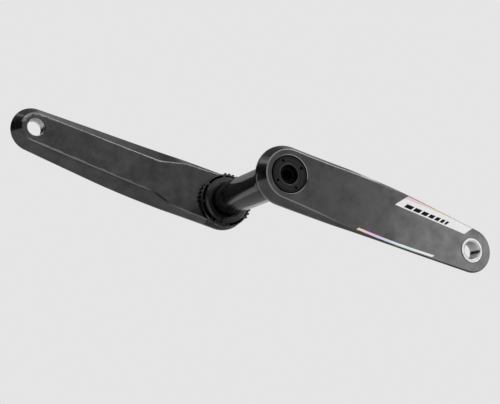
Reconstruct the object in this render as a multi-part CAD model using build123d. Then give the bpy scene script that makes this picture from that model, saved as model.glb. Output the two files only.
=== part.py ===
from build123d import *
import os
from math import atan2, cos, degrees, pi, radians, sin, tan

# A bicycle crankset without its chainring: two crank arms set opposite each other on a hollow spindle.
# Millimetres. The spindle lies along Y. The drive arm is at -Y and points along +X.
# The non-drive arm is at +Y and points along -X. Z is up. The origin is on the spindle's axis, half way along.
# A depth is a distance from the mid plane, y = 0, outwards along the spindle.

# Both arms: the outer face, the widest line around the arm (the waist) and the narrower back
crank_length = 175.0
face_depth_hub = 70.6
face_depth_pedal = 74.4
hub_radius = 25.4
hub_straight = 48.0
pedal_radius = 18.8
side_taper = 3.7
hub_bevel = 5.4
pedal_bevel = 0.7
bevel_reach = 120.0
waist_drop_hub = 10.1
waist_drop_pedal = 1.4
waist_reach = 110.0
arm_thickness_hub = 18.4
arm_thickness_pedal = 13.4
back_reach = 90.0
back_wall_hub = 1.5
back_half_width_flare = 19.8
back_half_width_neck = 13.6
back_half_width_pedal = 11.9
flare_start = 42.0
flare_end = 64.0
loft_base_margin = 2.2
side_span_counts = (3, 2, 6)
round_span_count = 8
back_span_count = 16

# Spindle
spindle_diameter = 28.99
spindle_bore = 21.0
shoulder_height = 1.505
shoulder_length = 9.7
shoulder_chamfer = 1.0
journal_diameter = 24.9
journal_gap = 0.4
crank_bolt_thread = 18.0
crank_bolt_thread_length = 18.8

# Hub inserts, bonded into the arms
cap_thread_diameter = 30.0
insert_wall = 2.5
insert_skin = 1.4
non_drive_insert_skin = 3.4
insert_floor_thickness = 2.8
root_below_face_drive = 23.6
root_below_face_non_drive = 21.0
chainring_pilot_step = 1.0
chainring_flange_lip = 2.4
chainring_flange_below_face = 19.3
chainring_flange_thickness = 6.1
chainring_hole_count = 8
chainring_hole_diameter = 2.6
chainring_hole_depth = 4.5
web_thickness = 2.4
web_hole_clearance = 0.4
collar_step = 0.5
collar_length = 5.0

# Crank bolt, its washers and the extractor cap
bolt_length = 19.0
bolt_head_clearance = 2.0
bolt_head_height = 3.6
bolt_hex = 8.0
bolt_hex_depth = 9.0
bolt_bore = 6.0
washer_thickness = 0.9
washer_bore_clearance = 0.3
cap_opening_clearance = 0.4
cap_rim_bevel = 0.35
cap_below_face = 0.5
cap_thickness = 3.1
cap_edge_chamfer = 0.7
cap_mouth_diameter = 15.8
cap_step_width = 1.3
cap_step_depth = 0.5
cap_mouth_chamfer = 0.3
cap_pin_count = 4
cap_pin_circle = 23.6
cap_pin_diameter = 2.2
cap_pin_depth = 2.0

# Pedal inserts
pedal_thread_diameter = 14.29
pedal_insert_wall = 1.555
pedal_insert_recess = 1.0
pedal_flange_lip = 1.6
pedal_flange_height = 1.2
pedal_insert_proud = 0.4
pedal_edge_chamfer = 0.3
pedal_mouth_chamfer = 0.9
pedal_back_hole_clearance = 0.555

# Preload ring, which turns on the non-drive insert's thread, with its pinch screw and nut
ring_back_gap = 0.4
ring_length = 6.0
ring_running_clearance = 0.08
ring_wall = 3.22
ring_mouth_clearance = 1.305
ring_lip = 2.4
ring_front_chamfer = 1.6
ring_root = 0.6
hoop_gap = 1.9
hoop_wall = 1.0
hoop_width = 2.0
spoke_width = 2.2
tab_count = 3
tab_pitch_angle = 90.0
tab_angle = 44.0
rib_diameter = 2.0
rib_outset = 0.3
ribs_per_tab = 5
rib_pitch_angle = 9.0
pinch_angle = -90.0
pinch_screw_outset = 1.6
pinch_lug_width = 3.8
pinch_lug_length = 10.0
pinch_lug_height = 3.5
pinch_split = 0.8
pocket_floor = 0.8
pinch_screw_diameter = 2.0
pinch_screw_length = 9.4
pinch_head_diameter = 2.9
pinch_head_height = 1.3
pinch_hex = 1.5
pinch_nut_width = 2.8
pinch_nut_thickness = 1.2
nut_start = 2.7
screw_clearance = 0.1

# Printed films on the drive arm's outer face
film_thickness = 0.12
film_edge_count = 8
panel_start_to_pedal = 79.4
panel_end_to_pedal = 10.4
panel_low = 10.8
panel_slant_start = 10.0
panel_slant_end = 6.4
trim_margin = 0.15
trim_width_start = 2.4
trim_width_end = 0.4
trim_taper_end_to_pedal = 27.0
trim_gap = 0.1
stripe_start_to_pedal = 107.7
stripe_end_to_pedal = 35.3
stripe_margin_start = 0.7
stripe_margin_end = 1.4
stripe_width = 2.05
stripe_slant = 1.9

# Diameters that follow from the sizes above
shoulder_diameter = spindle_diameter + 2 * shoulder_height
insert_diameter = cap_thread_diameter + 2 * insert_wall
chainring_pilot_diameter = insert_diameter - 2 * chainring_pilot_step
chainring_flange_diameter = insert_diameter + 2 * chainring_flange_lip
chainring_hole_circle = (chainring_pilot_diameter + chainring_flange_diameter) / 2
web_hole_diameter = crank_bolt_thread + 2 * web_hole_clearance
collar_thread_diameter = insert_diameter - 2 * collar_step
bolt_head_diameter = cap_thread_diameter - 2 * bolt_head_clearance
extractor_washer_bore = cap_mouth_diameter + 2 * washer_bore_clearance
cap_step_diameter = cap_mouth_diameter + 2 * cap_step_width
pedal_insert_diameter = pedal_thread_diameter + 2 * pedal_insert_wall
pedal_flange_diameter = pedal_insert_diameter + 2 * pedal_flange_lip
pedal_back_hole_diameter = pedal_thread_diameter + 2 * pedal_back_hole_clearance
ring_bore_diameter = collar_thread_diameter + 2 * ring_running_clearance
ring_body_diameter = ring_bore_diameter + 2 * ring_wall
ring_mouth_diameter = spindle_diameter + 2 * ring_mouth_clearance
hoop_inner_diameter = ring_body_diameter + 2 * hoop_gap
hoop_outer_diameter = hoop_inner_diameter + 2 * hoop_wall
rib_circle = hoop_outer_diameter + 2 * rib_outset
pinch_circle = ring_body_diameter + 2 * pinch_screw_outset
back_half_width_hub = chainring_flange_diameter / 2 + back_wall_hub

# Depths of the arms' lines, of the stack inside the drive arm's hub, and of what sits on the non-drive side
waist_depth_hub = face_depth_hub - waist_drop_hub
waist_depth_pedal = face_depth_pedal - waist_drop_pedal
back_depth_hub = face_depth_hub - arm_thickness_hub
back_depth_pedal = face_depth_pedal - arm_thickness_pedal
loft_base_depth = back_depth_hub - loft_base_margin
insert_end_depth = face_depth_hub - insert_skin
cap_end_depth = face_depth_hub - cap_below_face
cap_start_depth = cap_end_depth - cap_thickness
head_end_depth = cap_start_depth - washer_thickness
head_depth = head_end_depth - bolt_head_height
web_end_depth = head_depth - washer_thickness
web_depth = web_end_depth - web_thickness
root_depth_drive = face_depth_hub - root_below_face_drive
shoulder_depth = root_depth_drive - shoulder_length
journal_end_drive = web_depth - journal_gap
spindle_bore_end = journal_end_drive - crank_bolt_thread_length
chainring_flange_depth = face_depth_hub - chainring_flange_below_face
flange_end_depth = chainring_flange_depth + chainring_flange_thickness
root_depth_non_drive = face_depth_hub - root_below_face_non_drive
collar_shoulder_depth = root_depth_non_drive + collar_length
non_drive_insert_end = face_depth_hub - non_drive_insert_skin
insert_floor_depth = non_drive_insert_end - insert_floor_thickness
journal_end_non_drive = insert_floor_depth - journal_gap
ring_back_depth = back_depth_hub - ring_back_gap
ring_front_depth = ring_back_depth - ring_length
hoop_front_depth = ring_back_depth - hoop_width
pinch_lug_depth = ring_back_depth - pinch_lug_width

# Where the films start and end along the arm
panel_start = crank_length - panel_start_to_pedal
panel_end = crank_length - panel_end_to_pedal
trim_taper_end = crank_length - trim_taper_end_to_pedal
stripe_start = crank_length - stripe_start_to_pedal
stripe_end = crank_length - stripe_end_to_pedal


# Shape of an arm, as widths and depths at a distance x from the spindle's axis
def smooth_rise(x, start, end):
    """0 up to start, 1 past end, and level at both."""
    t = min(max((x - start) / (end - start), 0.0), 1.0)
    return sin(pi / 2 * t) ** 2


def face_depth(x):
    return face_depth_hub + (face_depth_pedal - face_depth_hub) * x / crank_length


def waist_depth(x):
    return waist_depth_hub + (waist_depth_pedal - waist_depth_hub) * smooth_rise(x, -hub_radius, waist_reach)


def back_depth(x):
    return back_depth_hub + (back_depth_pedal - back_depth_hub) * smooth_rise(x, -hub_radius, back_reach)


def waist_half_width(x):
    """Straight past the hub, then a curve that runs into the pedal end's circle without a corner."""
    taper = radians(side_taper)
    run = crank_length + pedal_radius * sin(taper) - hub_straight
    drop = hub_radius - pedal_radius * cos(taper)
    t = max((x - hub_straight) / run, 0.0)
    return hub_radius - drop * t ** (tan(taper) * run / drop)


def face_half_width(x):
    bevel = pedal_bevel + (hub_bevel - pedal_bevel) * (1 - smooth_rise(x, 0, bevel_reach))
    return waist_half_width(x) - bevel


def back_half_width(x):
    """Wide at the hub, narrow at the pedal end, with a short straight flare between them."""
    if x < flare_start:
        start, end, wide, narrow = 0.0, flare_start, back_half_width_hub, back_half_width_flare
    elif x < flare_end:
        start, end, wide, narrow = flare_start, flare_end, back_half_width_flare, back_half_width_neck
    else:
        start, end, wide, narrow = flare_end, crank_length, back_half_width_neck, back_half_width_pedal
    return wide + (narrow - wide) * (x - start) / (end - start)


def base_half_width(x):
    """The arm's flank, carried on inwards past the back to the loft's flat base."""
    share = (waist_depth(x) - loft_base_depth) / (waist_depth(x) - back_depth(x))
    return waist_half_width(x) + (back_half_width(x) - waist_half_width(x)) * share


def curve(point, start, end, spans):
    """A smooth edge through a function's points, with its own direction at each end."""
    step = (end - start) / spans
    small = step * 0.001
    tangents = [point(start + small) - point(start), point(end) - point(end - small)]
    points = [point(start + step * i) for i in range(spans + 1)]
    return Spline(*points, tangents=tangents, tangent_scalars=(1, 1))


def outline(half_width, depth, pedal_end_radius, taper):
    """A closed line around the arm: two sides in three parts each, and a round at each end."""
    side_end = crank_length + pedal_end_radius * sin(radians(taper))
    side_end_angle = degrees(atan2(half_width(side_end), side_end - crank_length))

    def side_point(z_sign):
        return lambda x: Vector(x, -depth(x), z_sign * half_width(x))

    def round_point(centre, start):
        def point(angle):
            x = centre + start.length * cos(radians(angle))
            return Vector(x, -depth(x), start.length * sin(radians(angle)))
        return point

    stops = [0.0, flare_start, flare_end, side_end]
    parts = list(zip(stops, stops[1:], side_span_counts))
    pedal_round = round_point(crank_length, Vector(side_end - crank_length, half_width(side_end)))
    hub_round = round_point(0.0, Vector(0.0, half_width(0.0)))
    edges = [curve(side_point(1), start, end, spans) for start, end, spans in parts]
    edges.append(curve(pedal_round, side_end_angle, -side_end_angle, round_span_count))
    edges += [curve(side_point(-1), end, start, spans) for start, end, spans in reversed(parts)]
    edges.append(curve(hub_round, -90, -270, round_span_count))
    return Wire.combine(edges, tol=0.001)[0]


def back_space():
    """Everything on the spindle's side of an arm's back."""
    reach = crank_length + 2 * pedal_radius
    back = curve(lambda x: Vector(x, -back_depth(x), 0), -2 * hub_radius, reach, back_span_count)
    far_side = Polyline(back @ 1, (reach, 0, 0), (-2 * hub_radius, 0, 0), back @ 0)
    return extrude(make_face([back, far_side]), amount=2 * hub_radius, dir=(0, 0, 1), both=True)


def arm_blank():
    """An arm with no holes: outer face, waist and flanks from a loft, and a curved back cut into it."""
    face_edge = outline(face_half_width, face_depth, pedal_radius - pedal_bevel, side_taper)
    waist = outline(waist_half_width, waist_depth, pedal_radius, side_taper)
    base = outline(base_half_width, lambda x: loft_base_depth, base_half_width(crank_length), 0.0)
    return Solid.make_loft([face_edge, waist, base], ruled=True) - back_space()


# Helpers: pieces are made for the drive side, and half a turn about Z takes one to the other side
def turned(*corners):
    """A solid turned about the spindle's axis from corners given as diameter and depth."""
    return revolve(make_face(Polyline(*[(d / 2, -depth) for d, depth in corners], close=True)), Axis.Y)


def slab(shape, start, end):
    """A flat shape drawn in X and Z, thick from depth start to depth end on the drive side."""
    return Rot(90, 0, 0) * Pos(0, 0, start) * extrude(shape, end - start)


def rod(x, diameter, start, end):
    return slab(Pos(x, 0) * Circle(diameter / 2), start, end)


def around(shape, circle_diameter, count, first_angle):
    return Sketch() + PolarLocations(circle_diameter / 2, count, first_angle) * shape


def hexagon(width):
    return RegularPolygon(width / 2, 6, major_radius=False)


def on_non_drive_side(solid):
    return Rot(0, 0, 180) * solid


# Depths of a pedal insert
pedal_insert_start = back_depth(crank_length) + pedal_insert_recess
pedal_insert_end = face_depth_pedal + pedal_insert_proud
pedal_flange_start = pedal_insert_end - pedal_flange_height
deep_cut = 2 * face_depth_pedal


def pedal_seat():
    """The space that a pedal insert takes in its arm, and the hole behind it."""
    return (
        rod(crank_length, pedal_insert_diameter, pedal_insert_start, deep_cut)
        + rod(crank_length, pedal_flange_diameter, pedal_flange_start, deep_cut)
        + rod(crank_length, pedal_back_hole_diameter, 0, pedal_insert_start)
    )


def make_drive_arm():
    opening = cap_thread_diameter + 2 * cap_opening_clearance
    rim = turned(
        (0, face_depth_hub - cap_rim_bevel),
        (opening, face_depth_hub - cap_rim_bevel),
        (opening + 4 * cap_rim_bevel, face_depth_hub + cap_rim_bevel),
        (0, face_depth_hub + cap_rim_bevel),
    )
    hub_space = (
        rod(0, insert_diameter, 0, insert_end_depth)
        + rod(0, chainring_flange_diameter, 0, flange_end_depth)
        + rod(0, opening, 0, deep_cut)
    )
    return arm_blank() - hub_space - rim - pedal_seat()


def make_non_drive_arm():
    pocket = rod(0, insert_diameter, 0, non_drive_insert_end)
    return on_non_drive_side(arm_blank() - pocket - pedal_seat())


def make_pedal_insert():
    mouth = pedal_thread_diameter + 2 * pedal_mouth_chamfer
    return Pos(crank_length, 0, 0) * turned(
        (pedal_thread_diameter, pedal_insert_start),
        (pedal_insert_diameter, pedal_insert_start),
        (pedal_insert_diameter, pedal_flange_start),
        (pedal_flange_diameter, pedal_flange_start),
        (pedal_flange_diameter, pedal_insert_end - pedal_edge_chamfer),
        (pedal_flange_diameter - 2 * pedal_edge_chamfer, pedal_insert_end),
        (mouth, pedal_insert_end),
        (pedal_thread_diameter, pedal_insert_end - pedal_mouth_chamfer),
    )


def make_drive_hub_insert():
    body = turned(
        (journal_diameter, root_depth_drive),
        (chainring_pilot_diameter, root_depth_drive),
        (chainring_pilot_diameter, chainring_flange_depth),
        (chainring_flange_diameter, chainring_flange_depth),
        (chainring_flange_diameter, flange_end_depth),
        (insert_diameter, flange_end_depth),
        (insert_diameter, insert_end_depth),
        (cap_thread_diameter, insert_end_depth),
        (cap_thread_diameter, web_end_depth),
        (web_hole_diameter, web_end_depth),
        (web_hole_diameter, web_depth),
        (journal_diameter, web_depth),
    )
    holes = around(Circle(chainring_hole_diameter / 2), chainring_hole_circle, chainring_hole_count, 0)
    return body - slab(holes, chainring_flange_depth, chainring_flange_depth + chainring_hole_depth)


def make_non_drive_hub_insert():
    return on_non_drive_side(turned(
        (journal_diameter, root_depth_non_drive),
        (collar_thread_diameter, root_depth_non_drive),
        (collar_thread_diameter, collar_shoulder_depth),
        (insert_diameter, collar_shoulder_depth),
        (insert_diameter, non_drive_insert_end),
        (0, non_drive_insert_end),
        (0, insert_floor_depth),
        (journal_diameter, insert_floor_depth),
    ))


def make_spindle():
    """One hollow shaft. Depths below nothing lie on the non-drive side."""
    step = (spindle_bore - crank_bolt_thread) / 2
    return turned(
        (journal_diameter, journal_end_drive),
        (journal_diameter, root_depth_drive),
        (shoulder_diameter, root_depth_drive),
        (shoulder_diameter, shoulder_depth + shoulder_chamfer),
        (shoulder_diameter - 2 * shoulder_chamfer, shoulder_depth),
        (spindle_diameter, shoulder_depth),
        (spindle_diameter, -root_depth_non_drive),
        (journal_diameter, -root_depth_non_drive),
        (journal_diameter, -journal_end_non_drive),
        (spindle_bore, -journal_end_non_drive),
        (spindle_bore, spindle_bore_end),
        (crank_bolt_thread, spindle_bore_end + step),
        (crank_bolt_thread, journal_end_drive),
    )


def make_crank_bolt():
    body = turned(
        (bolt_bore, head_depth - bolt_length),
        (crank_bolt_thread, head_depth - bolt_length),
        (crank_bolt_thread, head_depth),
        (bolt_head_diameter, head_depth),
        (bolt_head_diameter, head_end_depth),
        (bolt_bore, head_end_depth),
    )
    return body - slab(hexagon(bolt_hex), head_end_depth - bolt_hex_depth, head_end_depth)


def make_bolt_washer():
    disc = rod(0, bolt_head_diameter, web_end_depth, head_depth)
    return disc - rod(0, web_hole_diameter, web_end_depth, head_depth)


def make_extractor_washer():
    ring = rod(0, bolt_head_diameter, head_end_depth, cap_start_depth)
    return ring - rod(0, extractor_washer_bore, head_end_depth, cap_start_depth)


def make_extractor_cap():
    edge_diameter = cap_thread_diameter - 2 * cap_edge_chamfer
    step_depth = cap_end_depth - cap_step_depth
    body = turned(
        (cap_mouth_diameter, cap_start_depth),
        (cap_thread_diameter, cap_start_depth),
        (cap_thread_diameter, cap_end_depth - cap_edge_chamfer),
        (edge_diameter, cap_end_depth),
        (cap_step_diameter, cap_end_depth),
        (cap_step_diameter, step_depth),
        (cap_mouth_diameter + 2 * cap_mouth_chamfer, step_depth),
        (cap_mouth_diameter, step_depth - cap_mouth_chamfer),
    )
    pins = around(Circle(cap_pin_diameter / 2), cap_pin_circle, cap_pin_count, 180 / cap_pin_count)
    return body - slab(pins, cap_end_depth - cap_pin_depth, cap_end_depth)


# The preload ring is drawn as seen from the drive side, so its angles are those of X and Z
def facing(shape, start, end):
    """A flat shape drawn in X and Z, thick from depth start to depth end on the non-drive side."""
    return slab(shape, -end, -start)


def radial_bar(start_radius, end_radius, width):
    return Pos((start_radius + end_radius) / 2, 0) * Rectangle(end_radius - start_radius, width)


def make_preload_ring():
    lip_depth = ring_front_depth + ring_lip
    front_diameter = ring_body_diameter - 2 * ring_front_chamfer
    body = turned(
        (ring_mouth_diameter, -ring_front_depth),
        (front_diameter, -ring_front_depth),
        (ring_body_diameter, -ring_front_depth - ring_front_chamfer),
        (ring_body_diameter, -ring_back_depth),
        (ring_bore_diameter, -ring_back_depth),
        (ring_bore_diameter, -lip_depth),
        (ring_mouth_diameter, -lip_depth),
    )
    hoop = Circle(hoop_outer_diameter / 2) - Circle(hoop_inner_diameter / 2)
    root_radius = ring_body_diameter / 2 - ring_root
    spoke = radial_bar(root_radius, hoop_outer_diameter / 2, spoke_width)
    rib = Circle(rib_diameter / 2)
    tab_middles = [tab_pitch_angle * tab for tab in range(tab_count)]
    for middle in (*tab_middles, pinch_angle):
        for side in (-1, 1):
            hoop += Rot(0, 0, middle + side * tab_angle / 2) * spoke
    for middle in tab_middles:
        for i in range(ribs_per_tab):
            angle = middle + rib_pitch_angle * (i - (ribs_per_tab - 1) / 2)
            hoop += Rot(0, 0, angle) * Pos(rib_circle / 2, 0) * rib
    floor = Circle(hoop_inner_diameter / 2 + hoop_wall / 2) - Circle(root_radius)
    lug_top = ring_body_diameter / 2 + pinch_lug_height
    lug = Rot(0, 0, pinch_angle) * radial_bar(root_radius, lug_top, pinch_lug_length)
    ring = body + facing(hoop, hoop_front_depth, ring_back_depth)
    ring += facing(floor, ring_back_depth - pocket_floor, ring_back_depth)
    ring += facing(lug, pinch_lug_depth, ring_back_depth)
    split_end = lug_top + pinch_lug_height
    split = Rot(0, 0, pinch_angle) * radial_bar(ring_mouth_diameter / 4, split_end, pinch_split)
    ring -= facing(split, ring_front_depth, ring_back_depth)
    return ring - pinch_space()


def tangent_bar(shape, start, end):
    """A bar along the ring's tangent at the pinch lug, from a shape drawn in the radial direction and Y."""
    middle_depth = (pinch_lug_depth + ring_back_depth) / 2
    place = Rot(0, -pinch_angle, 0) * Pos(pinch_circle / 2, middle_depth, start)
    return place * extrude(shape, end - start)


def pinch_space():
    half = pinch_lug_length / 2
    head = Circle(pinch_head_diameter / 2 + screw_clearance)
    shank = Circle(pinch_screw_diameter / 2 + screw_clearance)
    nut = Pos(pinch_lug_height / 2, 0) * Rectangle(
        pinch_nut_width + 2 * screw_clearance + pinch_lug_height, pinch_nut_width + 2 * screw_clearance
    )
    return (
        tangent_bar(head, -half, -half + pinch_head_height)
        + tangent_bar(shank, -half, half)
        + tangent_bar(nut, nut_start - screw_clearance, nut_start + pinch_nut_thickness + screw_clearance)
    )


def make_pinch_screw():
    start = -pinch_lug_length / 2
    head_end = start + pinch_head_height
    screw = tangent_bar(Circle(pinch_head_diameter / 2), start, head_end)
    screw += tangent_bar(Circle(pinch_screw_diameter / 2), head_end, start + pinch_screw_length)
    return screw - tangent_bar(hexagon(pinch_hex), start, head_end)


def make_pinch_nut():
    nut = tangent_bar(Rectangle(pinch_nut_width, pinch_nut_width), nut_start, nut_start + pinch_nut_thickness)
    return nut - tangent_bar(Circle(pinch_screw_diameter / 2), nut_start, nut_start + pinch_nut_thickness)


# Films lie on the drive arm's outer face, which leans a little outwards along the arm
def film(*corners):
    lean = face_depth_pedal - face_depth_hub
    outwards = Vector(-lean, -crank_length, 0).normalized()
    plane = Plane(origin=(0, -face_depth_hub, 0), x_dir=(crank_length, -lean, 0), z_dir=outwards)
    return extrude(plane * make_face(Polyline(*corners, close=True)), film_thickness)


def edge_run(start, end, inset, sign):
    """Points along the face's upper (sign 1) or lower (sign -1) edge, set in from it by inset(x)."""
    xs = [start + (end - start) * i / film_edge_count for i in range(film_edge_count + 1)]
    return [(x, sign * (face_half_width(x) - inset(x))) for x in xs]


def trim_outer_inset(x):
    return trim_margin


def trim_inner_inset(x):
    """The trim narrows evenly from the panel's start, then keeps its width."""
    start = panel_start + panel_slant_start
    share = min(max((x - start) / (trim_taper_end - start), 0.0), 1.0)
    return trim_margin + trim_width_start + (trim_width_end - trim_width_start) * share


def panel_inset(x):
    return trim_inner_inset(x) + trim_gap


def slanted_run(inset):
    """An upper edge line between the panel's two slanted ends, which the trim carries on."""
    ends = []
    for low_x, slant in ((panel_start, panel_slant_start), (panel_end, panel_slant_end)):
        top_x = low_x + slant
        height = face_half_width(top_x) - panel_low
        ends.append(low_x + slant * (height - inset(top_x)) / (height - trim_margin))
    return edge_run(*ends, inset, 1)


def make_panel_film():
    return film((panel_start, panel_low), *slanted_run(panel_inset), (panel_end, panel_low))


def make_trim_film():
    return film(*slanted_run(trim_outer_inset), *reversed(slanted_run(trim_inner_inset)))


def stripe_outer_inset(x):
    """The stripe drifts evenly away from the edge along its length."""
    share = (x - stripe_start) / (stripe_end - stripe_start)
    return stripe_margin_start + (stripe_margin_end - stripe_margin_start) * share


def stripe_inner_inset(x):
    return stripe_outer_inset(x) + stripe_width


def make_stripe_film():
    outer = edge_run(stripe_start, stripe_end, stripe_outer_inset, -1)
    inner = edge_run(stripe_start + stripe_slant, stripe_end + stripe_slant, stripe_inner_inset, -1)
    return film(*outer, *reversed(inner))


parts = {
    "drive_arm": make_drive_arm(),
    "non_drive_arm": make_non_drive_arm(),
    "drive_pedal_insert": make_pedal_insert(),
    "non_drive_pedal_insert": on_non_drive_side(make_pedal_insert()),
    "drive_hub_insert": make_drive_hub_insert(),
    "non_drive_hub_insert": make_non_drive_hub_insert(),
    "spindle": make_spindle(),
    "crank_bolt": make_crank_bolt(),
    "bolt_washer": make_bolt_washer(),
    "extractor_washer": make_extractor_washer(),
    "extractor_cap": make_extractor_cap(),
    "preload_ring": make_preload_ring(),
    "pinch_screw": make_pinch_screw(),
    "pinch_nut": make_pinch_nut(),
    "panel_film": make_panel_film(),
    "trim_film": make_trim_film(),
    "stripe_film": make_stripe_film(),
}

os.makedirs("parts", exist_ok=True)
for name, solid in parts.items():
    solid.label = name
    export_step(solid, f"parts/{name}.step")
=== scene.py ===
"""A bicycle crankset without its chainring, dressed for the studio: metres, Z up, spindle along Y."""
import math

import bmesh
import bpy
import numpy as np
from mathutils import Matrix, Quaternion, Vector


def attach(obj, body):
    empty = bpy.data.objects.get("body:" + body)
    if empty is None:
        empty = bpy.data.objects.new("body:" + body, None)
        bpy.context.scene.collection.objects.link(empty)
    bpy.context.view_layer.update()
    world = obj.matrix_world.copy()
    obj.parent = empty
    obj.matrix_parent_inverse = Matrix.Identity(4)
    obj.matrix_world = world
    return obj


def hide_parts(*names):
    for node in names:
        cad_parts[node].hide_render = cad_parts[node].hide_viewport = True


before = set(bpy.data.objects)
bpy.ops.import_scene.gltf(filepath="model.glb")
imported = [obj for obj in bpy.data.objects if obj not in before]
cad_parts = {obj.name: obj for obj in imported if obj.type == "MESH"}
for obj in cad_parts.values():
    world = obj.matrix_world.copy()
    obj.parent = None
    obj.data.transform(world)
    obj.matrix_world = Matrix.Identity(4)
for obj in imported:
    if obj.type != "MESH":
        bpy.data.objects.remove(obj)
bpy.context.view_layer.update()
MM = 0.001
TAU = 2 * math.pi


# Materials
def surface(name, dark, light, roughness, metallic=0.0, coat=0.0, size=6.0, detail=4.0,
            rough_spread=0.04, bump=0.0, bump_size=1.0, specular=0.5, specular_spread=0.0, edge=None):
    """A Principled surface: colour between dark and light, and roughness, follow noise on Object coordinates.

    size and bump_size are the widths of the noise's patches in mm, and bump is a height in mm. The attribute
    "edge" paints highlights toward the edge colour where it is above 0, and paints shade on colour, coat and
    gloss below 0.
    """
    mat = bpy.data.materials.new(name)
    mat.use_nodes = True
    nodes, links = mat.node_tree.nodes, mat.node_tree.links
    shader = nodes["Principled BSDF"]
    shader.inputs["Metallic"].default_value = metallic
    shader.inputs["Specular IOR Level"].default_value = specular
    shader.inputs["Coat Weight"].default_value = coat
    shader.inputs["Coat Roughness"].default_value = 0.1
    place = nodes.new("ShaderNodeTexCoord")
    noise = nodes.new("ShaderNodeTexNoise")
    noise.inputs["Scale"].default_value = 1 / (size * MM)
    noise.inputs["Detail"].default_value = detail
    noise.inputs["Roughness"].default_value = 0.6
    links.new(place.outputs["Object"], noise.inputs["Vector"])
    ramp = nodes.new("ShaderNodeValToRGB")
    ramp.color_ramp.elements[0].position = 0.32
    ramp.color_ramp.elements[0].color = (*dark, 1)
    ramp.color_ramp.elements[1].position = 0.70
    ramp.color_ramp.elements[1].color = (*light, 1)
    links.new(noise.outputs["Fac"], ramp.inputs["Fac"])
    links.new(ramp.outputs["Color"], shader.inputs["Base Color"])
    # Painted light: highlights blended toward the edge colour, and painted shade that darkens colour, coat
    # and gloss.
    if edge:
        value = nodes.new("ShaderNodeAttribute")
        value.attribute_name = "edge"
        painted_light_mix = nodes.new("ShaderNodeMix")
        painted_light_mix.data_type = "RGBA"
        painted_light_mix.inputs["B"].default_value = (*edge, 1)
        fade = nodes.new("ShaderNodeMath")
        fade.use_clamp = True
        fade.inputs[1].default_value = 1.0
        links.new(value.outputs["Fac"], fade.inputs[0])
        dimmed_coat = nodes.new("ShaderNodeMath")
        dimmed_coat.operation = "MULTIPLY"
        dimmed_coat.inputs[1].default_value = coat
        links.new(fade.outputs["Value"], dimmed_coat.inputs[0])
        links.new(dimmed_coat.outputs["Value"], shader.inputs["Coat Weight"])
        links.new(value.outputs["Fac"], painted_light_mix.inputs["Factor"])
        links.new(ramp.outputs["Color"], painted_light_mix.inputs["A"])
        painted_shade = nodes.new("ShaderNodeMix")
        painted_shade.data_type = "RGBA"
        painted_shade.inputs["A"].default_value = (*grey(0.0), 1)
        links.new(fade.outputs["Value"], painted_shade.inputs["Factor"])
        links.new(painted_light_mix.outputs["Result"], painted_shade.inputs["B"])
        links.new(painted_shade.outputs["Result"], shader.inputs["Base Color"])
    spread = nodes.new("ShaderNodeMapRange")
    spread.inputs["From Min"].default_value = 0.3
    spread.inputs["From Max"].default_value = 0.7
    spread.inputs["To Min"].default_value = roughness + rough_spread
    spread.inputs["To Max"].default_value = roughness - rough_spread
    links.new(noise.outputs["Fac"], spread.inputs["Value"])
    links.new(spread.outputs["Result"], shader.inputs["Roughness"])
    if specular_spread:
        gloss = nodes.new("ShaderNodeMapRange")
        gloss.inputs["From Min"].default_value = 0.3
        gloss.inputs["From Max"].default_value = 0.7
        gloss.inputs["To Min"].default_value = specular - specular_spread
        gloss.inputs["To Max"].default_value = specular + specular_spread
        links.new(noise.outputs["Fac"], gloss.inputs["Value"])
        links.new(gloss.outputs["Result"], shader.inputs["Specular IOR Level"])
        if edge:
            dimmed = nodes.new("ShaderNodeMath")
            dimmed.operation = "MULTIPLY"
            links.new(gloss.outputs["Result"], dimmed.inputs[0])
            links.new(fade.outputs["Value"], dimmed.inputs[1])
            links.new(dimmed.outputs["Value"], shader.inputs["Specular IOR Level"])
    if bump:
        grain = nodes.new("ShaderNodeTexNoise")
        grain.inputs["Scale"].default_value = 1 / (bump_size * MM)
        grain.inputs["Detail"].default_value = 3
        links.new(place.outputs["Object"], grain.inputs["Vector"])
        height = nodes.new("ShaderNodeBump")
        height.inputs["Strength"].default_value = 1
        height.inputs["Distance"].default_value = bump * MM
        links.new(grain.outputs["Fac"], height.inputs["Height"])
        links.new(height.outputs["Normal"], shader.inputs["Normal"])
    return mat


def gradient_film(name, start, end, stops):
    """A printed film whose colour runs along X from start to end (mm) through (share, colour) stops."""
    mat = bpy.data.materials.new(name)
    mat.use_nodes = True
    nodes, links = mat.node_tree.nodes, mat.node_tree.links
    shader = nodes["Principled BSDF"]
    shader.inputs["Roughness"].default_value = 0.35
    place = nodes.new("ShaderNodeTexCoord")
    split = nodes.new("ShaderNodeSeparateXYZ")
    links.new(place.outputs["Object"], split.inputs["Vector"])
    share = nodes.new("ShaderNodeMapRange")
    share.inputs["From Min"].default_value = start * MM
    share.inputs["From Max"].default_value = end * MM
    links.new(split.outputs["X"], share.inputs["Value"])
    ramp = nodes.new("ShaderNodeValToRGB")
    while len(ramp.color_ramp.elements) < len(stops):
        ramp.color_ramp.elements.new(0.5)
    for element, (position, colour) in zip(ramp.color_ramp.elements, stops):
        element.position = position
        element.color = (*colour, 1)
    links.new(share.outputs["Result"], ramp.inputs["Fac"])
    links.new(ramp.outputs["Color"], shader.inputs["Base Color"])
    return mat


def grey(level):
    """A colour with no hue."""
    return (level, level, level)


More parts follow.
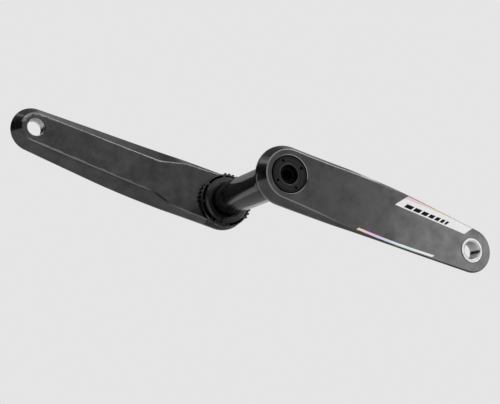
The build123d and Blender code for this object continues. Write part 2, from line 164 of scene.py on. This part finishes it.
def radial_tones(mat, stops, deeper_than=0.0):
    """Grey and specular levels by radius from the spindle's axis, in (mm, grey, specular) stops.

    They hold where |y| is above deeper_than (mm), and the surface's own levels elsewhere. They paint light:
    rings of highlight and of shade.
    """
    nodes, links = mat.node_tree.nodes, mat.node_tree.links
    shader = nodes["Principled BSDF"]
    colour = shader.inputs["Base Color"].links[0].from_socket
    own_specular = shader.inputs["Specular IOR Level"].default_value
    place = nodes.new("ShaderNodeTexCoord")
    flat = nodes.new("ShaderNodeVectorMath")
    flat.operation = "MULTIPLY"
    flat.inputs[1].default_value = (1, 0, 1)
    links.new(place.outputs["Object"], flat.inputs[0])
    radius = nodes.new("ShaderNodeVectorMath")
    radius.operation = "LENGTH"
    links.new(flat.outputs["Vector"], radius.inputs[0])
    share = nodes.new("ShaderNodeMath")
    share.operation = "DIVIDE"
    share.inputs[1].default_value = 30 * MM
    links.new(radius.outputs["Value"], share.inputs[0])
    split = nodes.new("ShaderNodeSeparateXYZ")
    links.new(place.outputs["Object"], split.inputs["Vector"])
    away = nodes.new("ShaderNodeMath")
    away.operation = "ABSOLUTE"
    links.new(split.outputs["Y"], away.inputs[0])
    deep = nodes.new("ShaderNodeMath")
    deep.operation = "GREATER_THAN"
    deep.inputs[1].default_value = deeper_than * MM
    links.new(away.outputs["Value"], deep.inputs[0])
    for column, target, own in ((1, "Base Color", colour), (2, "Specular IOR Level", None)):
        ramp = nodes.new("ShaderNodeValToRGB")
        while len(ramp.color_ramp.elements) < len(stops):
            ramp.color_ramp.elements.new(0.5)
        for element, stop in zip(ramp.color_ramp.elements, stops):
            element.position = stop[0] / 30
            element.color = (*grey(stop[column]), 1)
        links.new(share.outputs["Value"], ramp.inputs["Fac"])
        painted_light_mix = nodes.new("ShaderNodeMix")
        painted_light_mix.data_type = "RGBA"
        painted_light_mix.inputs["A"].default_value = (*grey(own_specular), 1)
        if own:
            links.new(own, painted_light_mix.inputs["A"])
        links.new(deep.outputs["Value"], painted_light_mix.inputs["Factor"])
        links.new(ramp.outputs["Color"], painted_light_mix.inputs["B"])
        links.new(painted_light_mix.outputs["Result"], shader.inputs[target])


# The carbon's noise is its own mottling; edge=grey(0.5) is the colour of the painted highlights along its
# edges.
carbon = surface("moulded_carbon", grey(0.0), grey(0.02), 0.24, coat=0.42, size=11, detail=5,
                 rough_spread=0.05, specular_spread=0.13, edge=grey(0.5))
anodised = surface("black_anodised", grey(0.002), grey(0.004), 0.14, size=9, rough_spread=0.02, specular=0.42)
# edge=grey(0.95) is the colour the insert's bore blends toward; the bore's two streaks, through the same
# attribute, are painted shade.
insert_metal = surface("bare_steel", grey(0.27), grey(0.36), 0.33, metallic=1.0, size=2.5, edge=grey(0.95))
# The bolt and washers are black parts, with colour and gloss taken down almost to nothing as painted shade
# inside the cap's mouth.
black_steel = surface("black_steel", grey(0.0), grey(0.001), 0.5, size=3, specular=0.04)
washer_plastic = surface("washer_plastic", grey(0.002), grey(0.004), 0.5, size=3, specular=0.1)
ring_plastic = surface("ring_plastic", grey(0.008), grey(0.014), 0.3, size=4, bump=0.01, bump_size=0.6)
zinc_steel = surface("zinc_steel", grey(0.42), grey(0.52), 0.3, metallic=1.0, size=2)
cap_metal = surface("cap_anodised", grey(0.003), grey(0.006), 0.35, size=3, rough_spread=0.03, specular=0.16)
# Painted light on the cap by radius: painted highlights ring the mouth and the step, fainter rings of painted
# reflection cross the face, and painted shade darkens the mouth and the outer edge.
radial_tones(cap_metal, (
    (7.9, 0.0, 0.0), (8.0, 0.06, 0.5), (8.3, 0.05, 0.5), (8.5, 0.004, 0.14), (9.1, 0.004, 0.14),
    (9.25, 0.03, 0.4), (9.5, 0.006, 0.18), (10.6, 0.003, 0.12), (11.4, 0.008, 0.2), (12.6, 0.004, 0.13),
    (14.2, 0.004, 0.12), (14.8, 0.0, 0.0)))
# Painted shade: black without gloss on the pocket floors between the ring's body and hoop, where |y| is above
# 50 mm.
radial_tones(ring_plastic, (
    (20.3, 0.01, 0.5), (20.4, 0.0, 0.0), (22.15, 0.0, 0.0), (22.25, 0.012, 0.5)), deeper_than=50.0)
silver_film = surface("silver_film", grey(0.88), grey(0.91), 0.35, size=20, rough_spread=0.02)
mark_film = surface("mark_film", grey(0.006), grey(0.009), 0.5, size=20, rough_spread=0.02, specular=0.05)
trim_film = gradient_film("trim_colours", 104, 172, (
    (0.0, (0.88, 0.57, 0.79)), (0.22, (0.88, 0.60, 0.66)), (0.38, (0.92, 0.75, 0.55)),
    (0.75, (0.92, 0.84, 0.73)), (1.0, (0.88, 0.87, 0.84))))
stripe_film = gradient_film("stripe_colours", 67, 141, (
    (0.0, (0.94, 0.76, 0.54)), (0.08, (0.95, 0.70, 0.62)), (0.20, (0.94, 0.60, 0.86)),
    (0.33, (0.78, 0.70, 0.97)), (0.44, (0.72, 0.86, 0.98)), (0.60, (0.86, 0.95, 0.89)),
    (1.0, (0.93, 0.93, 0.89))))


# Building blocks: edges sharper than these angles, in degrees, are shaded as edges
SHARP_GRID = 32.0
SHARP_SOLID = 30.0


def piece(name, grids, mat, body, nodes):
    """One object from grids of points in mm, merged where they meet.

    A grid is (array, close rows, close columns), and may add a value per row for the attribute "edge", which
    paints highlights above 0 and shade below 0.
    """
    points, faces, edges, offset = [], [], [], 0
    for grid, close_rows, close_columns, *edge in grids:
        rows, columns = grid.shape[:2]
        edges.append(np.broadcast_to(edge[0] if edge else 0.0, (rows, columns)).ravel())
        index = np.arange(rows * columns).reshape(rows, columns) + offset
        r = np.arange(rows if close_rows else rows - 1)[:, None]
        c = np.arange(columns if close_columns else columns - 1)[None, :]
        next_r, next_c = (r + 1) % rows, (c + 1) % columns
        quads = np.stack([index[r, c], index[r, next_c], index[next_r, next_c], index[next_r, c]], -1)
        faces.append(quads.reshape(-1, 4))
        points.append(grid.reshape(-1, 3))
        offset += rows * columns
    mesh = bpy.data.meshes.new(name)
    mesh.from_pydata((np.concatenate(points) * MM).tolist(), [], np.concatenate(faces).tolist())
    mesh.attributes.new("edge", "FLOAT", "POINT").data.foreach_set("value", np.concatenate(edges))
    work = bmesh.new()
    work.from_mesh(mesh)
    bmesh.ops.remove_doubles(work, verts=work.verts, dist=0.002 * MM)
    bmesh.ops.recalc_face_normals(work, faces=work.faces)
    work.to_mesh(mesh)
    work.free()
    mesh.shade_smooth()
    mesh.set_sharp_from_angle(angle=math.radians(SHARP_GRID))
    obj = bpy.data.objects.new(name, mesh)
    bpy.context.scene.collection.objects.link(obj)
    obj.data.materials.append(mat)
    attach(obj, body)
    if nodes:
        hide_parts(*nodes)
    return obj


def round_corners(points, reach):
    """Closed profile with each corner P as (1-t)^2 A + 2t(1-t) P + t^2 C, with A and C reach away from P."""
    p = np.asarray(points, float)
    reach = np.broadcast_to(np.asarray(reach, float), len(p))[:, None]

    def toward(other):
        gap = other - p
        return p + gap * np.minimum(reach / np.linalg.norm(gap, axis=1, keepdims=True), 0.45)

    t = np.linspace(0, 1, 4)[None, :, None]
    a, c = toward(np.roll(p, 1, 0))[:, None], toward(np.roll(p, -1, 0))[:, None]
    return ((1 - t) ** 2 * a + 2 * t * (1 - t) * p[:, None] + t ** 2 * c).reshape(-1, 2)


def lathe(profile, segments, centre=0.0):
    """x = centre + r cos a, y = given, z = r sin a for a profile of (r, y)."""
    a = np.arange(segments) * TAU / segments
    r, y = profile[:, :1], profile[:, 1:]
    return np.stack([centre + r * np.cos(a), y + 0 * a, r * np.sin(a)], -1)


def half_turn(grid):
    """The same points on the non-drive side: half a turn about Z."""
    return grid * np.array([-1.0, -1.0, 1.0])


def softened(node, body, mat, width):
    """A merged copy of a CAD node with its edges broken by a small bevel of the given width in mm."""
    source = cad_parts[node]
    mesh = source.data.copy()
    mesh.name = node + "_dressed"
    work = bmesh.new()
    work.from_mesh(mesh)
    bmesh.ops.remove_doubles(work, verts=work.verts, dist=0.001 * MM)
    bmesh.ops.dissolve_limit(work, angle_limit=math.radians(0.6), verts=work.verts, edges=work.edges)
    bmesh.ops.recalc_face_normals(work, faces=work.faces)
    work.to_mesh(mesh)
    work.free()
    mesh.materials.clear()
    mesh.materials.append(mat)
    mesh.shade_smooth()
    mesh.set_sharp_from_angle(angle=math.radians(SHARP_SOLID))
    obj = bpy.data.objects.new(mesh.name, mesh)
    bpy.context.scene.collection.objects.link(obj)
    bevel = obj.modifiers.new("edge", "BEVEL")
    bevel.width = width * MM
    bevel.segments = 2
    bevel.limit_method = "ANGLE"
    bevel.angle_limit = math.radians(SHARP_SOLID)
    bevel.harden_normals = True
    bevel.use_clamp_overlap = True
    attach(obj, body)
    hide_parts(node)
    return obj


# Arms
LENGTH = 175.0
HUB_RADIUS = 25.4
PEDAL_RADIUS = 18.8
TAPER = 3.7
TAPER_START = 48.0
HUB_DEPTH = 70.6
DEPTH_RISE = 3.8
CUT = 90.0
RUN_POINTS = (12, 18, 8, 30)
PEDAL_POINTS = 44
HUB_POINTS = 56


def ease(x, start, end):
    """0 before start, 1 after end, and a smooth quarter of a sine squared between them."""
    t = np.clip((x - start) / (end - start), 0, 1)
    return np.sin(np.pi / 2 * t) ** 2


def face_depth(x):
    """The outer face leans evenly outwards from the hub to the pedal."""
    return HUB_DEPTH + DEPTH_RISE * x / LENGTH


def waist_depth(x):
    """The widest line around the arm moves outwards from the hub, then runs level."""
    return 60.5 + 12.5 * ease(x, -25.4, 110.0)


def back_depth(x):
    """The inner face moves outwards from the hub, then runs level."""
    return 52.2 + 8.8 * ease(x, -25.4, 90.0)


def waist_half(x):
    """Hub radius - drop t^(tan(taper) run / drop): level at the hub, tapered at the pedal round."""
    taper = math.radians(TAPER)
    run = LENGTH + PEDAL_RADIUS * math.sin(taper) - TAPER_START
    drop = HUB_RADIUS - PEDAL_RADIUS * math.cos(taper)
    return HUB_RADIUS - drop * np.maximum((x - TAPER_START) / run, 0) ** (math.tan(taper) * run / drop)


def face_half(x):
    """Half the outer face's width: the waist's, less a bevel that narrows along the arm."""
    return waist_half(x) - 0.7 - 4.7 * (1 - ease(x, 0.0, 120.0))


def back_half(x):
    """Piecewise straight widths, averaged over 5 mm so that the flare has soft corners."""
    near = np.asarray(x)[..., None] + np.linspace(-2.5, 2.5, 9)
    return np.interp(near, [0, 42, 64, LENGTH], [21.4, 19.8, 13.6, 11.9]).mean(-1)


def outline(half, depth, pedal_radius, taper):
    """Closed line of points (x, -depth, z): upper side, pedal round, lower side, hub round."""
    end = LENGTH + pedal_radius * math.sin(math.radians(taper))
    stops = (0, 40, 66, CUT, end)
    runs = [np.linspace(a, b, count, endpoint=b == end) for a, b, count in zip(stops, stops[1:], RUN_POINTS)]
    x = np.concatenate(runs)
    z = half(x)
    radius = math.hypot(end - LENGTH, z[-1])
    stop = math.atan2(z[-1], end - LENGTH)
    a = np.linspace(stop, -stop, PEDAL_POINTS + 2)[1:-1]
    b = np.linspace(-np.pi / 2, -3 * np.pi / 2, HUB_POINTS + 2)[1:-1]
    hub = float(half(np.array(0.0)))
    xs = np.concatenate([x, LENGTH + radius * np.cos(a), x[::-1], hub * np.cos(b)])
    zs = np.concatenate([z, radius * np.sin(a), -z[::-1], hub * np.sin(b)])
    return np.stack([xs, -depth(xs), zs], -1)


# The outline's points at x = CUT, on the upper side and on the lower side
UPPER_CUT = sum(RUN_POINTS[:3])
LOWER_CUT = sum(RUN_POINTS) + PEDAL_POINTS + RUN_POINTS[3] - 1


def inset(line, width, depth):
    """The line moved inwards in X and Z by width, and laid on the surface y = -depth(x)."""
    along = np.roll(line, -1, 0) - np.roll(line, 1, 0)
    normal = np.stack([along[:, 2], 0 * along[:, 0], -along[:, 0]], -1)
    normal /= np.linalg.norm(normal, axis=1, keepdims=True)
    moved = line + width * normal
    moved[:, 1] = -depth(moved[:, 0])
    return moved


def corner_rows(before, at, after, reach, steps):
    """Rows (1-t)^2 A + 2t(1-t) P + t^2 C across a corner line P, with A and C reach away on its two sides."""
    reach = np.broadcast_to(np.asarray(reach, float), len(at))[:, None]

    def toward(other, share):
        gap = other - at
        return at + gap * np.minimum(reach * share / np.linalg.norm(gap, axis=1, keepdims=True), 0.48)

    t = np.linspace(0, 1, steps + 1)[:, None, None]
    a, c = toward(before, 1.0), toward(after, 1.0)
    curve = (1 - t) ** 2 * a + 2 * t * (1 - t) * at + t ** 2 * c
    outside = [toward(before, 2.2)[None], toward(before, 1.25)[None]]
    return np.concatenate([*outside, curve, toward(after, 1.25)[None]])


def skin(line, waist, depth, centre, radius, rows):
    """One half of a face, on y = -depth(x): straight rows from a circle round the centre out to the line."""
    angle = np.arctan2(waist[:, 2], waist[:, 0] - centre)
    x0, z0 = centre + radius * np.cos(angle), radius * np.sin(angle)
    t = (0.5 - 0.5 * np.cos(np.pi * np.linspace(0, 1, rows)))[:, None]
    t = 0.5 * t + 0.5 * np.linspace(0, 1, rows)[:, None]
    x, z = x0 + (line[:, 0] - x0) * t, z0 + (line[:, 2] - z0) * t
    return np.stack([x, -depth(x), z], -1)


def hole(waist, centre, profile):
    """The wall of a hole: circles of the given radii, each at a depth or at a distance from a surface."""
    angle = np.arctan2(waist[:, 2], waist[:, 0] - centre)
    rows = []
    for radius, depth, surface_depth in profile:
        x = centre + radius * np.cos(angle)
        y = -(depth + (surface_depth(x) if surface_depth else 0 * x))
        rows.append(np.stack([x, y, radius * np.sin(angle)], -1))
    return np.stack(rows)


def cut_line(line):
    """Twelve points between the two sides of a line at x = CUT, the upper one first."""
    t = np.linspace(0, 1, 14)[1:-1, None]
    return line[UPPER_CUT] * (1 - t) + line[LOWER_CUT] * t


def halves(line):
    """The hub part and the pedal part of a line, each closed along the cut."""
    middle = cut_line(line)
    return (np.concatenate([line[:UPPER_CUT + 1], middle, line[LOWER_CUT:]]),
            np.concatenate([line[UPPER_CUT:LOWER_CUT + 1], middle[::-1]]))


def arm_grids(hub_profile, hub_face_radius, hub_back_radius, upper_painted_light):
    """All grids of an arm on the drive side, with the hub's hole as given and the pedal's hole.

    The last argument is the strength of the painted highlight along the face's upper edge; below 1 it also
    paints shade on the upper flank near the hub.
    """
    face = outline(face_half, face_depth, 18.1, TAPER)
    waist = outline(waist_half, waist_depth, PEDAL_RADIUS, TAPER)
    back = outline(back_half, back_depth, 11.9, 0.0)
    face_in = inset(face, 2.0, face_depth)
    x = waist[:, 0]
    round_share = ease(x, 150.0, 185.0) * (waist[:, 2] > 0)
    back_in = inset(back, 1.0 + 1.5 * round_share[:, None], back_depth)
    band = np.concatenate([
        face_in[None],
        corner_rows(face_in, face, waist, 0.75 - 0.45 * ease(x, 20.0, 110.0), 4),
        corner_rows(face, waist, back, 3.2 - 2.7 * ease(x, 0.0, 120.0), 7),
        corner_rows(waist, back, back_in, 1.1 + 0.7 * round_share, 4),
        back_in[None],
    ])
    upper = waist[:, 2] > 0
    # Painted light, in the attribute "edge": rows 2 to 8 carry painted shade on the face's corner toward the
    # pedal, rows 4 to 6 a painted highlight along the face edge, rows 9 to 18 painted shade on the upper
    # flank near the hub where the last argument is below 1, and the back edge a painted highlight with a line
    # of painted shade beside it and on the lower flare.
    edge = np.zeros(band.shape[:2])
    edge[2:9] = -np.where(upper, 0.5 * ease(x, 165.0, 180.0), 0.6 * ease(x, 80.0, 100.0))
    edge[4:7] += 0.44 * np.where(upper, upper_painted_light * (1 - ease(x, 70.0, 115.0)), 1 - ease(x, 20.0, 78.0))
    low_painted_light = np.interp(x, [30, 42, 46, 50, 58, 64, 68, 160, 178, 184],
                         [0.8, 0.4, 0.0, -1.6, -1.6, 0.0, 0.5, 1.0, 0.9, 0])
    edge[-8] = np.where(upper | (x > 66.0), -0.55, 0.0)
    edge[9:19] = np.where(upper, -0.8 * (1 - upper_painted_light) * (1 - ease(x, 38.0, 72.0)), 0.0)
    edge[-7:-2] = 0.42 * np.where(upper, 0.85, low_painted_light)
    waist_hub, waist_pedal = halves(waist)
    face_hub, face_pedal = halves(face_in)
    back_hub, back_pedal = halves(back_in)
    pedal_profile = [(10.5, 0.0, face_depth), (10.3, -0.2, face_depth), (10.3, 73.6, None), (8.7, 73.6, None),
                     (8.7, 62.0, None), (7.7, 62.0, None), (7.7, 0.35, back_depth), (8.05, 0.0, back_depth)]
    grids = [
        (band, False, True, edge),
        (skin(face_hub, waist_hub, face_depth, 0.0, hub_face_radius, 14), False, True),
        (skin(face_pedal, waist_pedal, face_depth, LENGTH, 10.5, 14), False, True),
        (skin(back_hub, waist_hub, back_depth, 0.0, hub_back_radius, 22), False, True),
        (skin(back_pedal, waist_pedal, back_depth, LENGTH, 8.05, 22), False, True),
        (hole(waist_pedal, LENGTH, pedal_profile), False, True),
    ]
    # Painted highlight on the rim of the hub's hole, its strength set by the angle around the hole.
    turn = np.degrees(np.arctan2(waist_hub[:, 2], waist_hub[:, 0]))
    rim = np.interp(turn, [-180, -100, -75, -30, -8, 0, 10, 50, 110, 135, 160],
                    [0, 0, 0.6, 0.6, 0.1, 0, 0.7, 0.8, 0.7, 0.3, 0])
    for profile in hub_profile:
        wall = hole(waist_hub, 0.0, profile)
        painted_rim_highlight = np.zeros(wall.shape[:2])
        painted_rim_highlight[1:3] = rim
        grids.append((wall, False, True, painted_rim_highlight))
    return grids


drive_hub = [[(15.9, 0.0, face_depth), (15.84, -0.06, face_depth), (15.46, -0.44, face_depth),
              (15.4, -0.5, face_depth), (15.4, 69.2, None), (17.5, 69.2, None),
              (17.5, 57.4, None), (19.9, 57.4, None), (19.9, 0.0, back_depth)]]
non_drive_hub = [[(0.0, 67.2, None), (17.5, 67.2, None), (17.5, 0.3, back_depth), (17.8, 0.0, back_depth)]]
piece("drive_arm_body", arm_grids(drive_hub, 15.9, 19.9, 1.0), carbon, "crankset", ["drive_arm"])
piece("non_drive_arm_body", [(half_turn(g), *rest) for g, *rest in arm_grids(non_drive_hub, 0.0, 17.8, 0.0)],
      carbon, "crankset", ["non_drive_arm"])


# Threaded pedal inserts
def insert_grid():
    """A flanged ring with a threaded bore: r = 7.145 + 0.35 w f, f a triangle wave of y / 1.27 + a / tau.

    The bore is lighter than the flange, but for a streak of painted shade on each side.
    """
    columns = 96
    outer = round_corners([(8.7, -62.0), (8.7, -73.6), (10.3, -73.6), (10.3, -74.8), (8.25, -74.8)],
                          [0.15, 0.01, 0.01, 0.22, 0.12])
    ring = lathe(outer, columns, LENGTH)
    a = np.arange(columns) * TAU / columns
    y = -np.linspace(74.55, 62.0, 130)[:, None]
    wave = np.abs(((y / 1.27 + a / TAU) % 1.0) * 2 - 1)
    ends = np.clip((74.1 + y) / 0.8, 0, 1) * np.clip((-y - 62.0) / 0.7, 0, 1)
    mouth = np.clip((-y - 73.9) / 0.9, 0, 1) * 0.9
    r = 7.145 + 0.35 * wave * ends + mouth
    bore = np.stack([LENGTH + r * np.cos(a), y + 0 * a, r * np.sin(a)], -1)
    # Painted shade: two dark streaks down the bore, at fixed angles around it.
    near, far = (np.angle(np.exp(1j * (a - math.radians(middle)))) for middle in (14.0, 172.0))
    painted_shade_streak = 1.5 * np.exp(-(near / 0.16) ** 2) + 1.3 * np.exp(-(far / 0.4) ** 2)
    tone = np.zeros((len(ring) + len(bore), columns))
    tone[len(ring):] = 0.55 - painted_shade_streak
    return np.concatenate([ring, bore]), tone


threaded, bore_tone = insert_grid()
piece("drive_insert_ring", [(threaded, True, True, bore_tone)], insert_metal, "crankset",
      ["drive_pedal_insert"])
piece("non_drive_insert_ring", [(half_turn(threaded), True, True, bore_tone)], insert_metal, "crankset",
      ["non_drive_pedal_insert"])


# Spindle
spindle_profile = round_corners(
    [(12.45, -58.8), (12.45, -47.0), (16.0, -47.0), (16.0, -38.3), (15.0, -37.3), (14.495, -37.3),
     (14.495, 49.6), (12.45, 49.6), (12.45, 64.0), (10.5, 64.0), (10.5, -40.0), (9.0, -41.5), (9.0, -58.8)],
    [0.4, 0.1, 0.1, 0.3, 0.3, 0.3, 0.2, 0.1, 0.5, 0.3, 0.3, 0.3, 0.4])
piece("spindle_body", [(lathe(spindle_profile, 160), True, True)], anodised, "crankset", ["spindle"])

# Turned and moulded pieces with broken edges
softened("extractor_cap", "crankset", cap_metal, 0.12)
softened("crank_bolt", "crankset", black_steel, 0.15)
softened("drive_hub_insert", "crankset", anodised, 0.15)
softened("non_drive_hub_insert", "crankset", anodised, 0.15)
softened("preload_ring", "preload_ring", ring_plastic, 0.22)
softened("pinch_screw", "preload_ring", zinc_steel, 0.1)
softened("pinch_nut", "preload_ring", zinc_steel, 0.1)

for node, mat in (("bolt_washer", washer_plastic), ("extractor_washer", washer_plastic),
                  ("panel_film", silver_film), ("trim_film", trim_film), ("stripe_film", stripe_film)):
    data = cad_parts[node].data
    data.materials.clear()
    data.materials.append(mat)


# Plain slanted bars on the panel
def bars():
    """Slanted bars 0.03 mm proud of the panel, 2 mm to 7 mm wide, on the plane y = -(face depth + film)."""
    widths = np.array([7.0, 6.2, 5.4, 4.6, 3.8, 3.0, 2.2])
    starts = 104.0 + np.concatenate([[0], np.cumsum(widths[:-1] + 1.6)])
    low, high, slant = 11.9, 15.4, 2.6
    bottom, top = 0.10, 0.15
    grids = []
    for start, width in zip(starts, widths):
        x = np.array([[start, start + width], [start + slant, start + width + slant]])
        z = np.array([[low, low], [high, high]])
        under = np.stack([x, -(face_depth(x) + bottom), z], -1)
        over = np.stack([x, -(face_depth(x) + top), z], -1)
        rim = np.stack([np.stack([g[0, 0], g[0, 1], g[1, 1], g[1, 0]]) for g in (under, over)])
        grids += [(under, False, False), (over, False, False), (rim, False, True)]
    return grids


piece("panel_bars", bars(), mark_film, "crankset", [])


# Studio
BACKDROP = 0.7835
AMBIENT = 0.50
FLOOR = -0.02545


def studio_world():
    """The backdrop's grey for the camera, reflections and glass, and a lower grey for the ambient light."""
    world = bpy.data.worlds.new("studio")
    bpy.context.scene.world = world
    world.use_nodes = True
    nodes, links = world.node_tree.nodes, world.node_tree.links
    shader = nodes["Background"]
    path = nodes.new("ShaderNodeLightPath")
    plain_ray = path.outputs["Is Camera Ray"]
    for kind in ("Is Glossy Ray", "Is Transmission Ray"):
        most = nodes.new("ShaderNodeMath")
        most.operation = "MAXIMUM"
        links.new(plain_ray, most.inputs[0])
        links.new(path.outputs[kind], most.inputs[1])
        plain_ray = most.outputs["Value"]
    mix = nodes.new("ShaderNodeMix")
    mix.data_type = "RGBA"
    mix.inputs["A"].default_value = (*grey(AMBIENT), 1)
    mix.inputs["B"].default_value = (*grey(BACKDROP), 1)
    links.new(plain_ray, mix.inputs["Factor"])
    links.new(mix.outputs["Result"], shader.inputs["Color"])
    shader.inputs["Strength"].default_value = 1.0


def studio_floor():
    """A pale floor under the crankset, clear when seen from below, as the camera is."""
    mesh = bpy.data.meshes.new("floor")
    size = 3.0
    mesh.from_pydata([(-size, -size, FLOOR), (size, -size, FLOOR), (size, size, FLOOR), (-size, size, FLOOR)],
                     [], [(0, 1, 2, 3)])
    floor = bpy.data.objects.new("floor", mesh)
    bpy.context.scene.collection.objects.link(floor)
    mat = bpy.data.materials.new("floor")
    mat.use_nodes = True
    nodes, links = mat.node_tree.nodes, mat.node_tree.links
    shader = nodes["Principled BSDF"]
    shader.inputs["Base Color"].default_value = (*grey(0.75), 1)
    shader.inputs["Roughness"].default_value = 0.8
    shader.inputs["Specular IOR Level"].default_value = 0.1
    plain = nodes.new("ShaderNodeEmission")
    plain.inputs["Color"].default_value = (*grey(BACKDROP), 1)
    path = nodes.new("ShaderNodeLightPath")
    top = nodes.new("ShaderNodeMixShader")
    links.new(path.outputs["Is Glossy Ray"], top.inputs["Fac"])
    links.new(shader.outputs["BSDF"], top.inputs[1])
    links.new(plain.outputs["Emission"], top.inputs[2])
    clear = nodes.new("ShaderNodeBsdfTransparent")
    side = nodes.new("ShaderNodeNewGeometry")
    mix = nodes.new("ShaderNodeMixShader")
    links.new(side.outputs["Backfacing"], mix.inputs["Fac"])
    links.new(top.outputs["Shader"], mix.inputs[1])
    links.new(clear.outputs["BSDF"], mix.inputs[2])
    links.new(mix.outputs["Shader"], nodes["Material Output"].inputs["Surface"])
    mesh.materials.append(mat)


def card(name, corners, level=0.0):
    """A card of a plain grey level that shows only in reflections."""
    mesh = bpy.data.meshes.new(name)
    mesh.from_pydata(corners, [], [tuple(range(len(corners)))])
    mat = bpy.data.materials.new(name)
    mat.use_nodes = True
    nodes = mat.node_tree.nodes
    plain = nodes.new("ShaderNodeEmission")
    plain.inputs["Color"].default_value = (*grey(level), 1)
    mat.node_tree.links.new(plain.outputs["Emission"], nodes["Material Output"].inputs["Surface"])
    mesh.materials.append(mat)
    obj = bpy.data.objects.new(name, mesh)
    bpy.context.scene.collection.objects.link(obj)
    obj.visible_camera = obj.visible_diffuse = obj.visible_transmission = obj.visible_shadow = False


def flat_card(name, height, places, level=0.0):
    """A level card at a height, with corners (x, y)."""
    card(name, [(x, y, height) for x, y in places], level)


def wall(name, start, end, low, high, level=0.0):
    """A card that stands on the line between two places (x, y)."""
    card(name, [(*start, low), (*end, low), (*end, high), (*start, high)], level)


def softbox(name, place, target, width, height, power, roll=0.0):
    """A rectangular lamp turned toward a target, and by roll in degrees about its own axis."""
    light = bpy.data.lights.new(name, "AREA")
    light.shape = "RECTANGLE"
    light.size, light.size_y, light.energy = width, height, power
    obj = bpy.data.objects.new(name, light)
    obj.location = place
    aim = (Vector(target) - Vector(place)).to_track_quat("-Z", "Y")
    obj.rotation_euler = (aim @ Quaternion((0, 0, 1), math.radians(roll))).to_euler()
    obj.visible_camera = False
    bpy.context.scene.collection.objects.link(obj)


studio_world()
studio_floor()
softbox("overhead", (0.35, -0.30, 1.30), (0, 0, 0), 1.1, 0.5, 7.0)
softbox("side", (1.0, -1.16, 0.49), (0.1, -0.07, 0), 0.62, 0.9, 4.8, roll=8.0)
softbox("left_high", (-0.35, 0.03, 0.19), (0, 0, 0), 0.16, 0.08, 0.07)
softbox("left_front", (-0.6, -0.5, 0.6), (0, 0, 0), 0.25, 0.25, 0.3)
flat_card("card_high", 1.0, (
    (0.11, 0.15), (0.11, 0.6), (0.0, 0.95), (0.0, 1.3), (-1.0, 1.3), (-1.0, 0.15)), 0.17)
flat_card("card_high_right", 1.0, (
    (0.11, 0.15), (1.3, 0.15), (1.3, 1.8), (0.0, 1.8), (0.0, 0.95), (0.11, 0.6)), 0.38)
flat_card("card_high_hub", 0.99, ((0.3, 0.95), (0.45, 0.95), (0.45, 1.3), (0.3, 1.3)), 0.12)
wall("card_left", (-1.3, -0.7), (-1.3, 1.0), FLOOR, 0.45)
wall("card_left_high", (-1.3, -0.7), (-1.3, 1.0), 0.45, 1.0, 0.06)
wall("card_back_left", (-1.3, 1.0), (-0.15, 1.4), FLOOR, 0.45)
wall("card_back_left_high", (-1.3, 1.0), (-0.15, 1.4), 0.45, 0.9, 0.5)
wall("card_back", (-0.15, 1.4), (0.3, 1.1), 0.3, 0.8, 0.34)
wall("card_back_right", (0.3, 1.1), (0.7, 1.0), 0.36, 0.75, 0.35)
flat_card("card_low_left", FLOOR + 0.001, (
    (-0.045, -0.10), (-0.045, -0.03), (-0.25, 0.0), (-0.25, 0.35), (-1.25, 0.6), (-1.25, -0.3)))
# Painted shadow: a grey patch on the floor behind the hub, seen only in reflections, stands in for the
# crankset's shadow there.
flat_card("painted_floor_shadow_card", FLOOR + 0.001, ((-0.02, -0.04), (0.08, -0.04), (0.12, 0.15), (0.0, 0.15)), 0.35)

camera = bpy.data.cameras.new("camera")
camera.sensor_fit = "HORIZONTAL"
camera.sensor_width = 36.0
camera.lens = 1209.154 * 36.0 / 500
camera.clip_start, camera.clip_end = 0.01, 20
viewer = bpy.data.objects.new("camera", camera)
bpy.context.scene.collection.objects.link(viewer)
viewer.matrix_world = Matrix((
    (0.86436805, -0.35891373, -0.35220563, -0.35227088),
    (-0.43185078, -0.17098324, -0.88558999, -0.89100400),
    (0.25762915, 0.91757597, -0.30278963, -0.31460210),
    (0, 0, 0, 1),
))
bpy.context.scene.camera = viewer
bpy.context.scene.view_settings.view_transform = "Standard"
